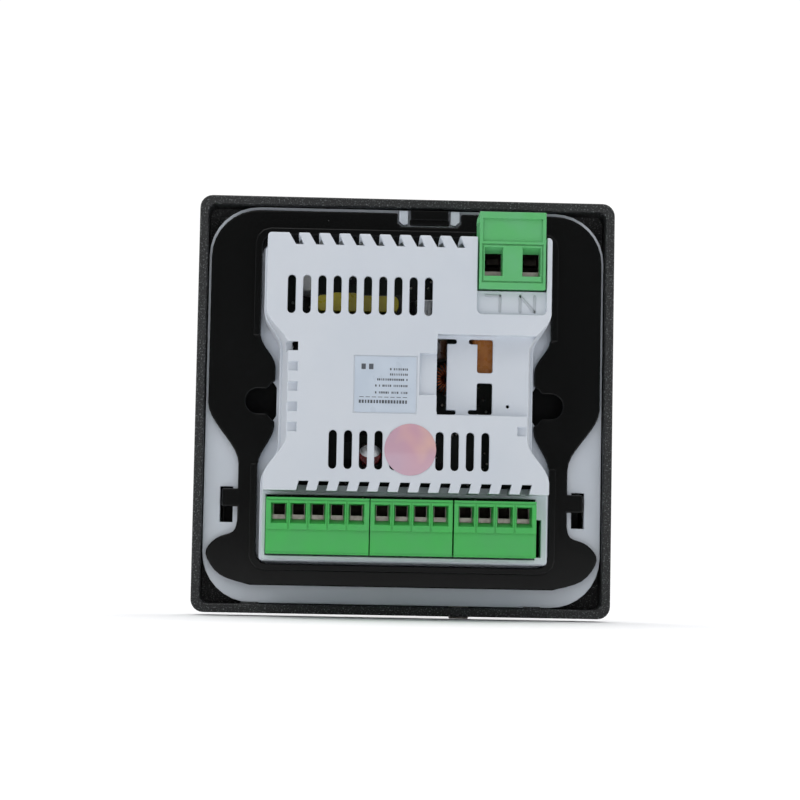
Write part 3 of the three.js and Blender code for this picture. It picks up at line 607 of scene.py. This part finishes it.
def pinTree(material):
    sizes = {"Count": 4, "Pitch": 0.004, "Start": (0.0, 0.0, 0.0), "Half": 0.0005, "Tip": 0.0003,
             "Length": 0.006}
    tree, given = startTree("pinRow", sizes)
    taper = {"Vertices": 4, "Radius Top": calculate(tree, "MULTIPLY", given["Tip"], math.sqrt(2)),
             "Radius Bottom": calculate(tree, "MULTIPLY", given["Half"], math.sqrt(2)),
             "Depth": calculate(tree, "MULTIPLY", given["Half"], 1.4)}
    tip = addNode(tree, "GeometryNodeMeshCone", taper).outputs[0]
    tip = moved(tree, tip, vector(tree, z=given["Length"]), (0.0, 0.0, math.pi / 4))
    width = calculate(tree, "MULTIPLY", given["Half"], 2.0)
    size = vector(tree, width, width, given["Length"])
    stem = addNode(tree, "GeometryNodeMeshCube", {"Size": size}).outputs[0]
    stem = moved(tree, stem, vector(tree, z=calculate(tree, "MULTIPLY", given["Length"], 0.5)))
    pin = moved(tree, joined(tree, [stem, tip]), (0.0, 0.0, 0.0), (-math.pi / 2, 0.0, 0.0))
    step = vector(tree, calculate(tree, "MULTIPLY", given["Pitch"], -1.0))
    line = {"Count": given["Count"], "Start Location": given["Start"], "Offset": step}
    points = addNode(tree, "GeometryNodeMeshLine", line, mode="OFFSET").outputs[0]
    row = addNode(tree, "GeometryNodeInstanceOnPoints", {"Points": points, "Instance": pin}).outputs[0]
    return finishTree(tree, row, material)


def wayCentres(plug):
    ways = [node for node in screwNodes if node.startswith(f"screw_{plug}_")]
    return sorted(((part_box(node)[0][0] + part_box(node)[1][0]) / 2 for node in ways), reverse=True)


def makePins(look):
    tree = pinTree("nickelPlatedBrass")
    for plug in plugNames:
        centres = wayCentres(plug)
        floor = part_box(f"header_{plug}")[0][1] + look["floorAbove"] * mm
        height = look["heights"].get(plug, look["otherHeight"]) * mm
        values = {"Count": len(centres), "Pitch": centres[0] - centres[1],
                  "Start": (centres[0], floor, height), "Half": look["half"] * mm,
                  "Tip": look["tip"] * mm, "Length": look["length"] * mm}
        growPiece(prefixed("pins", plug), tree, values, bodyOf(f"header_{plug}"))
    print("pin rows made:", len(plugNames))


makePins(pinLook)

# backs of the wire cages in bronze drawn almost black: painted shade in the deep insides behind the windows
# of the plugs
cageLook = {"thick": 0.12, "small": {"width": 3.2, "height": 6.2, "middle": -23.75, "floor": 12.7},
            "mains": {"width": 4.2, "height": 8.2, "middle": 29.1, "floor": 12.5}}


def cageTree(material):
    sizes = {"Count": 4, "Pitch": 0.004, "Start": (0.0, 0.0, 0.0), "Size": (0.002, 0.0001, 0.003)}
    tree, given = startTree("cageBacks", sizes)
    back = addNode(tree, "GeometryNodeMeshCube", {"Size": given["Size"]}).outputs[0]
    step = vector(tree, calculate(tree, "MULTIPLY", given["Pitch"], -1.0))
    line = {"Count": given["Count"], "Start Location": given["Start"], "Offset": step}
    points = addNode(tree, "GeometryNodeMeshLine", line, mode="OFFSET").outputs[0]
    row = addNode(tree, "GeometryNodeInstanceOnPoints", {"Points": points, "Instance": back}).outputs[0]
    return finishTree(tree, row, material)


def makeCageBacks(look):
    tree = cageTree("darkenedBronze")
    for plug in plugNames:
        form = look.get(plug, look["small"])
        centres = wayCentres(plug)
        start = (centres[0], (form["floor"] + look["thick"] / 2) * mm, form["middle"] * mm)
        values = {"Count": len(centres), "Pitch": centres[0] - centres[1], "Start": start,
                  "Size": (form["width"] * mm, look["thick"] * mm, form["height"] * mm)}
        growPiece(prefixed("cageBacks", plug), tree, values, bodyOf(f"plug_{plug}"))
    print("cage backs made:", len(plugNames))


makeCageBacks(cageLook)

# choke: enamelled wire wound round a ring core
chokeLook = {"centre": (-8.6, 12.2, 4.7), "ringRadius": 2.2, "coreRadius": 0.98, "turnRadius": 1.12,
             "wireRadius": 0.17, "turns": 26}


def windingTree(material):
    sizes = {"Turns": 20, "Ring Radius": 0.002, "Turn Radius": 0.001, "Wire Radius": 0.0002,
             "Place": (0.0, 0.0, 0.0)}
    tree, given = startTree("wireTurns", sizes)
    path = addNode(tree, "GeometryNodeCurvePrimitiveCircle",
                   {"Resolution": 64, "Radius": given["Ring Radius"]})
    spots = addNode(tree, "GeometryNodeCurveToPoints", {"Curve": path.outputs[0], "Count": given["Turns"]},
                    mode="COUNT")
    loop = addNode(tree, "GeometryNodeCurvePrimitiveCircle",
                   {"Resolution": 20, "Radius": given["Turn Radius"]})
    section = addNode(tree, "GeometryNodeCurvePrimitiveCircle",
                      {"Resolution": 8, "Radius": given["Wire Radius"]})
    wire = addNode(tree, "GeometryNodeCurveToMesh",
                   {"Curve": loop.outputs[0], "Profile Curve": section.outputs[0]})
    turns = addNode(tree, "GeometryNodeInstanceOnPoints",
                    {"Points": spots.outputs["Points"], "Instance": wire.outputs[0],
                     "Rotation": spots.outputs["Rotation"]}).outputs[0]
    return finishTree(tree, moved(tree, turns, given["Place"], (math.pi / 2, 0.0, 0.0)), material)


def makeChoke(look):
    place = tuple(value * mm for value in look["centre"])
    values = {"Turns": look["turns"], "Ring Radius": look["ringRadius"] * mm,
              "Turn Radius": look["turnRadius"] * mm, "Wire Radius": look["wireRadius"] * mm, "Place": place}
    growPiece("chokeWinding", windingTree("enamelledCopper"), values, bodyOf("choke_coil"),
              ["choke_coil"])
    sizes = {"Ring Radius": 0.002, "Section Radius": 0.001, "Place": (0.0, 0.0, 0.0)}
    tree, given = startTree("ringCore", sizes)
    path = addNode(tree, "GeometryNodeCurvePrimitiveCircle",
                   {"Resolution": 40, "Radius": given["Ring Radius"]})
    section = addNode(tree, "GeometryNodeCurvePrimitiveCircle",
                      {"Resolution": 14, "Radius": given["Section Radius"]})
    ring = addNode(tree, "GeometryNodeCurveToMesh",
                   {"Curve": path.outputs[0], "Profile Curve": section.outputs[0]})
    finishTree(tree, moved(tree, ring.outputs[0], given["Place"], (math.pi / 2, 0.0, 0.0)), "sinteredFerrite")
    core = {"Ring Radius": look["ringRadius"] * mm, "Section Radius": look["coreRadius"] * mm, "Place": place}
    growPiece("chokeCore", tree, core, bodyOf("choke_coil"))
    print("choke made:", look["turns"], "turns")


makeChoke(chokeLook)

# small parts on the boards: chips and tinned joints, scattered with a fixed seed
scatterLook = {"chips": {"density": 0.035, "low": 0.9, "high": 2.4, "thick": 1.4, "seed": 7},
               "joints": {"density": 0.12, "low": 0.35, "high": 0.7, "thick": 0.5, "seed": 3}}


def scatterTree(name, isBall, material):
    sizes = {"Size X": 0.04, "Size Z": 0.04, "Density": 1e4, "Smallest": 0.001, "Largest": 0.002,
             "Thick": 0.001, "Seed": 1, "Place": (0.0, 0.0, 0.0)}
    tree, given = startTree(name, sizes)
    sheet = addNode(tree, "GeometryNodeMeshGrid", {"Size X": given["Size X"], "Size Y": given["Size Z"],
                                                   "Vertices X": 2, "Vertices Y": 2}).outputs[0]
    upright = moved(tree, sheet, given["Place"], (-math.pi / 2, 0.0, 0.0))
    spots = addNode(tree, "GeometryNodeDistributePointsOnFaces",
                    {"Mesh": upright, "Density": given["Density"], "Seed": given["Seed"]})
    if isBall:
        ball = {"Segments": 12, "Rings": 8, "Radius": 0.5}
        unit = addNode(tree, "GeometryNodeMeshUVSphere", ball).outputs[0]
    else:
        unit = addNode(tree, "GeometryNodeMeshCube", {"Size": (1.0, 1.0, 1.0)}).outputs[0]
    wide = randomSize(tree, given["Smallest"], given["Largest"], 11)
    tall = wide if isBall else randomSize(tree, given["Smallest"], given["Largest"], 12)
    parts = addNode(tree, "GeometryNodeInstanceOnPoints",
                    {"Points": spots.outputs["Points"], "Instance": unit,
                     "Scale": vector(tree, wide, given["Thick"], tall)}).outputs[0]
    return finishTree(tree, parts, material)


def makeBoardParts(look):
    trees = {"chips": scatterTree("chipScatter", False, "epoxyChip"),
             "joints": scatterTree("jointScatter", True, "zincPlatedSteel")}
    low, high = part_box("power_board")
    margin = 8 * mm
    for name, form in look.items():
        values = {"Size X": high[0] - low[0] - margin, "Size Z": high[2] - low[2] - margin,
                  "Density": form["density"] / mm ** 2, "Smallest": form["low"] * mm,
                  "Largest": form["high"] * mm, "Thick": form["thick"] * mm, "Seed": form["seed"],
                  "Place": ((low[0] + high[0]) / 2, high[1], (low[2] + high[2]) / 2)}
        growPiece(prefixed("boardParts", name), trees[name], values, bodyOf("power_board"))
    print("board parts made")


makeBoardParts(scatterLook)


# stickers and moulded letters

# label in its shallow recess, with grey bars in place of print
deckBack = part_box("rear_cover")[1][1] / mm
labelLook = {"left": -1.6, "right": 10.5, "low": -2.7, "high": 8.3, "recess": 0.25, "thick": 0.1,
             "corner": 0.4}
lineForm = {"lines": 1, "linePitch": 1.04, "wordPitch": 0.36, "shortest": 0.13, "longest": 0.31,
            "height": 0.42, "keep": 0.86}
barGroups = {
    "labelLinesShort": {**lineForm, "start": (0.2, 5.84), "lines": 2, "words": 10, "seed": 4},
    "labelLineThird": {**lineForm, "start": (0.2, 3.77), "words": 17, "seed": 5},
    "labelLineFourth": {**lineForm, "start": (0.2, 2.55), "words": 19, "seed": 6},
    "labelLineFifth": {**lineForm, "start": (0.2, 1.19), "words": 18, "seed": 7},
    "labelDashes": {**lineForm, "start": (0.55, 0.28), "words": 8, "wordPitch": 1.22, "shortest": 0.85,
                    "longest": 0.86, "height": 0.12, "keep": 1.0, "seed": 1},
    "labelTitle": {**lineForm, "start": (0.3, -0.62), "words": 17, "wordPitch": 0.57, "shortest": 0.28,
                   "longest": 0.48, "height": 0.65, "keep": 0.92, "seed": 2},
    "labelMarks": {**lineForm, "start": (7.3, 6.3), "words": 2, "wordPitch": 1.5, "shortest": 0.75,
                   "longest": 0.95, "height": 1.1, "keep": 1.0, "seed": 6},
}


def barTree(material):
    sizes = {"Start": (0.0, 0.0, 0.0), "Lines": 5, "Line Pitch": 0.001, "Words": 4, "Word Pitch": 0.001,
             "Shortest": 0.0005, "Longest": 0.001, "Height": 0.0004, "Thick": 0.00003, "Keep": 1.0, "Seed": 1}
    tree, given = startTree("printedBars", sizes)
    down = vector(tree, z=calculate(tree, "MULTIPLY", given["Line Pitch"], -1.0))
    lines = addNode(tree, "GeometryNodeMeshLine",
                    {"Count": given["Lines"], "Start Location": given["Start"], "Offset": down},
                    mode="OFFSET")
    words = addNode(tree, "GeometryNodeMeshLine",
                    {"Count": given["Words"], "Offset": vector(tree, given["Word Pitch"])}, mode="OFFSET")
    table = addNode(tree, "GeometryNodeInstanceOnPoints",
                    {"Points": lines.outputs[0], "Instance": words.outputs[0]}).outputs[0]
    spots = addNode(tree, "GeometryNodeRealizeInstances", {"Geometry": table}).outputs[0]
    skipped = calculate(tree, "GREATER_THAN", randomSize(tree, 0.0, 1.0, given["Seed"]), given["Keep"])
    kept = addNode(tree, "GeometryNodeDeleteGeometry", {"Geometry": spots, "Selection": skipped}).outputs[0]
    length = randomSize(tree, given["Shortest"], given["Longest"], given["Seed"])
    bar = addNode(tree, "GeometryNodeMeshCube", {"Size": (1.0, 1.0, 1.0)}).outputs[0]
    bars = addNode(tree, "GeometryNodeInstanceOnPoints",
                   {"Points": kept, "Instance": bar,
                    "Scale": vector(tree, length, given["Thick"], given["Height"])}).outputs[0]
    return finishTree(tree, bars, material)


# flat piece with an outline of [x, z] points in millimetres between two Y planes
def flatPiece(name, outline, front, back, material, soften=0.0):
    shape = bmesh.new()
    lower = [shape.verts.new((x * mm, front * mm, z * mm)) for x, z in outline]
    face = shape.faces.new(lower)
    grown = bmesh.ops.extrude_face_region(shape, geom=[face])["geom"]
    raised = [item for item in grown if isinstance(item, bmesh.types.BMVert)]
    bmesh.ops.translate(shape, verts=raised, vec=(0, (back - front) * mm, 0))
    if soften:
        rim = [edge for edge in shape.edges if all(abs(v.co.y - back * mm) < 1e-7 for v in edge.verts)]
        bmesh.ops.bevel(shape, geom=rim, offset=soften * mm, segments=2, profile=0.5, affect="EDGES")
    return fromBmesh(name, shape, material)


def roundedOutline(left, right, low, high, radius, steps=6):
    outline = []
    for x, z, start in [(right, low, -90), (right, high, 0), (left, high, 90), (left, low, 180)]:
        centreX = x + (radius if x == left else -radius)
        centreZ = z + (radius if z == low else -radius)
        for i in range(steps + 1):
            angle = math.radians(start + 90 * i / steps)
            outline.append((centreX + radius * math.cos(angle), centreZ + radius * math.sin(angle)))
    return outline


def makeLabel(look, groups):
    base = deckBack - look["recess"]
    face = base + look["thick"]
    outline = roundedOutline(look["left"], look["right"], look["low"], look["high"], look["corner"])
    label = flatPiece("dataLabel", outline, base - 0.02, face, "coatedPaper")
    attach(label, bodyOf("rear_cover"))
    tree = barTree("printInk")
    for name, form in groups.items():
        values = {"Start": (form["start"][0] * mm, face * mm, form["start"][1] * mm), "Lines": form["lines"],
                  "Line Pitch": form["linePitch"] * mm, "Words": form["words"],
                  "Word Pitch": form["wordPitch"] * mm, "Shortest": form["shortest"] * mm,
                  "Longest": form["longest"] * mm, "Height": form["height"] * mm, "Keep": form["keep"],
                  "Seed": form["seed"]}
        growPiece(name, tree, values, bodyOf("rear_cover"))
    print("label made:", len(groups), "groups of bars")


makeLabel(labelLook, barGroups)

# round sticker over the lower cooling slots; it carries no mark
stickerLook = {"centre": (-0.7, -10.0), "radius": 5.1, "thick": 0.12, "segments": 72}


def makeSticker(look):
    turn = [2 * math.pi * i / look["segments"] for i in range(look["segments"])]
    outline = [(look["centre"][0] + look["radius"] * math.cos(angle),
                look["centre"][1] + look["radius"] * math.sin(angle)) for angle in turn]
    sticker = flatPiece("roundSticker", outline, deckBack + 0.01, deckBack + look["thick"], "pearlFoil", 0.04)
    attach(sticker, bodyOf("rear_cover"))
    print("sticker made")


makeSticker(stickerLook)

# the two terminal letters, moulded raised and upside down beside the mains block; drawn a darker grey than
# the housing as painted shade along their strokes
letterForm = {"width": 0.55, "rise": 0.16, "sunk": 0.05, "soften": 0.08, "bayDepth": 1.2,
              "strokes": {"markLine": [[(-18.0, 21.0), (-18.0, 17.9)], [(-18.0, 21.0), (-15.2, 21.0)]],
                          "markNeutral": [[(-22.0, 21.0), (-22.0, 17.9)], [(-22.0, 21.0), (-24.9, 17.9)],
                                          [(-24.9, 21.0), (-24.9, 17.9)]]}}


def strokeOutline(start, end, width, steps=6):
    along = math.atan2(end[1] - start[1], end[0] - start[0])
    outline = []
    for (x, z), first in ((end, -90), (start, 90)):
        for i in range(steps + 1):
            angle = along + math.radians(first + 180 * i / steps)
            outline.append((x + width / 2 * math.cos(angle), z + width / 2 * math.sin(angle)))
    return outline


def makeLetters(form):
    base = deckBack - form["bayDepth"]
    for name, strokes in form["strokes"].items():
        for i, (start, end) in enumerate(strokes):
            outline = strokeOutline(start, end, form["width"])
            stroke = flatPiece(f"{name}{i + 1}", outline, base - form["sunk"], base + form["rise"],
                               "mouldedLetter", form["soften"])
            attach(stroke, bodyOf("rear_cover"))
    print("letters made")


makeLetters(letterForm)

# bare aluminium top of the sleeved capacitor, leaning up so that the sleeve shows below it
topLook = {"inset": 0.12, "flat": 0.62, "shift": 0.34, "rise": 0.04, "segments": 40}


def makeCapacitorTop(look):
    low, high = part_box("output_capacitor")
    centre = ((low[0] + high[0]) / 2 / mm, (low[2] + high[2]) / 2 / mm)
    radius = (high[0] - low[0]) / 2 / mm - look["inset"]
    turn = [2 * math.pi * i / look["segments"] for i in range(look["segments"])]
    outline = [(centre[0] + radius * math.cos(angle),
                centre[1] + radius * (look["shift"] + look["flat"] * math.sin(angle))) for angle in turn]
    back = high[1] / mm
    top = flatPiece("outputCapacitorTop", outline, back - 0.2, back + look["rise"], "drawnAluminium", 0.03)
    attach(top, bodyOf("output_capacitor"))


makeCapacitorTop(topLook)

# touch keys printed on the front glass: plain rings under the screen window
keyForm = {"count": 3, "pitch": 16.0, "height": -29.5, "radius": 2.2, "line": 0.16}


def keyTree(material):
    sizes = {"Count": 3, "Pitch": 0.015, "Start": (0.0, 0.0, 0.0), "Radius": 0.002, "Line": 0.0001}
    tree, given = startTree("touchKeys", sizes)
    path = addNode(tree, "GeometryNodeCurvePrimitiveCircle", {"Resolution": 48, "Radius": given["Radius"]})
    section = addNode(tree, "GeometryNodeCurvePrimitiveCircle", {"Resolution": 8, "Radius": given["Line"]})
    ring = addNode(tree, "GeometryNodeCurveToMesh",
                   {"Curve": path.outputs[0], "Profile Curve": section.outputs[0]})
    flat = addNode(tree, "GeometryNodeTransform", {"Geometry": ring.outputs[0], "Scale": (1.0, 1.0, 0.2),
                                                   "Rotation": (0.0, 0.0, 0.0)}).outputs[0]
    upright = moved(tree, flat, (0.0, 0.0, 0.0), (math.pi / 2, 0.0, 0.0))
    line = {"Count": given["Count"], "Start Location": given["Start"], "Offset": vector(tree, given["Pitch"])}
    points = addNode(tree, "GeometryNodeMeshLine", line, mode="OFFSET").outputs[0]
    keys = addNode(tree, "GeometryNodeInstanceOnPoints", {"Points": points, "Instance": upright}).outputs[0]
    return finishTree(tree, keys, material)


def makeKeys(look):
    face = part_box("front_glass")[0][1]
    start = -look["pitch"] * (look["count"] - 1) / 2
    values = {"Count": look["count"], "Pitch": look["pitch"] * mm,
              "Start": (start * mm, face, look["height"] * mm), "Radius": look["radius"] * mm,
              "Line": look["line"] * mm}
    growPiece("touchKeys", keyTree("keyInk"), values, bodyOf("front_glass"))
    print("touch keys made:", look["count"])


makeKeys(keyForm)


# stage, lights and camera

stageLook = {"floorLevel": -43.62, "floorRadius": 4000, "floorColour": "#F4F4F5", "floorCloud": "#F1F1F3",
             "skyBack": 1.05, "skyFront": 0.17, "zenithLift": 0.9}


def makeStage(look):
    constants = {"Roughness": 0.85, "Specular IOR Level": 0.2}
    material, tree, shader, place = startMaterial("paleStudioBoard", constants)
    clouds = noiseField(tree, place, 60)
    colour = mixColours(tree, clouds, linear(look["floorColour"]), linear(look["floorCloud"]))
    tree.links.new(colour, shader.inputs["Base Color"])
    disc = bmesh.new()
    bmesh.ops.create_circle(disc, cap_ends=True, segments=96, radius=look["floorRadius"] * mm,
                            matrix=Matrix.Translation((0, 0, look["floorLevel"] * mm)))
    mesh = bpy.data.meshes.new("studioFloor")
    disc.to_mesh(mesh)
    disc.free()
    mesh.materials.append(material)
    newPiece("studioFloor", mesh)


def makeSky(look):
    world = bpy.data.worlds.new("studioSky")
    bpy.context.scene.world = world
    world.use_nodes = True
    tree = world.node_tree
    tree.nodes.clear()
    direction = addNode(tree, "ShaderNodeTexCoord").outputs["Generated"]
    parts = addNode(tree, "ShaderNodeSeparateXYZ", {0: direction})
    towards = {"Value": parts.outputs["Y"], "From Min": -0.45, "From Max": 0.55,
               "To Min": look["skyBack"], "To Max": look["skyFront"]}
    base = addNode(tree, "ShaderNodeMapRange", towards, interpolation_type="SMOOTHSTEP").outputs[0]
    upwards = {"Value": parts.outputs["Z"], "From Min": 0.3, "From Max": 0.9, "To Max": look["zenithLift"]}
    lift = addNode(tree, "ShaderNodeMapRange", upwards, interpolation_type="SMOOTHSTEP").outputs[0]
    strength = calculate(tree, "ADD", base, lift)
    seen = addNode(tree, "ShaderNodeLightPath").outputs["Is Camera Ray"]  # the backdrop looks pale all round
    strength = calculate(tree, "MAXIMUM", strength, calculate(tree, "MULTIPLY", seen, look["skyBack"]))
    glow = addNode(tree, "ShaderNodeBackground", {"Color": (1, 1, 1, 1), "Strength": strength})
    addNode(tree, "ShaderNodeOutputWorld", {"Surface": glow.outputs[0]})


def aim(thing, place, target, roll=0.0):
    thing.location = Vector(place) * mm
    away = (Vector(place) - Vector(target)).normalized()
    thing.rotation_mode = "QUATERNION"
    thing.rotation_quaternion = away.to_track_quat("Z", "Y") @ Quaternion((0, 0, 1), math.radians(roll))


softLights = {
    "keyPanel": {"place": (240, 620, 700), "size": 500, "power": 1.1, "colour": "#FFFDFA"},
    "fillPanel": {"place": (-620, 420, 260), "size": 420, "power": 0.22, "colour": "#F1F6FF"},
    "sidePanel": {"place": (640, 300, 200), "size": 420, "power": 0.22, "colour": "#EEF4FF"},
}


def makeLights(lights):
    for name, look in lights.items():
        light = bpy.data.lights.new(name, "AREA")
        light.size = look["size"] * mm
        light.energy = look["power"]
        light.color = linear(look["colour"])[:3]
        lamp = bpy.data.objects.new(name, light)
        bpy.context.scene.collection.objects.link(lamp)
        aim(lamp, look["place"], (0, 0, 0))


cameraView = {"target": (1.23, 10.0, 0.5), "azimuth": 178.43, "elevation": -4.18, "distance": 459.5,
              "roll": 1.09, "lens": 102.6}


def makeCamera(look):
    turn = math.radians(look["azimuth"])
    rise = math.radians(look["elevation"])
    back = Vector((math.sin(turn) * math.cos(rise), -math.cos(turn) * math.cos(rise), math.sin(rise)))
    data = bpy.data.cameras.new("studioCamera")
    data.lens = look["lens"]
    data.clip_start = 0.01
    data.clip_end = 20
    camera = bpy.data.objects.new("studioCamera", data)
    bpy.context.scene.collection.objects.link(camera)
    aim(camera, Vector(look["target"]) + back * look["distance"], look["target"], look["roll"])
    bpy.context.scene.camera = camera


makeStage(stageLook)
makeSky(stageLook)
makeLights(softLights)
makeCamera(cameraView)
bpy.context.scene.view_settings.view_transform = "Standard"
print("stage, lights and camera set")
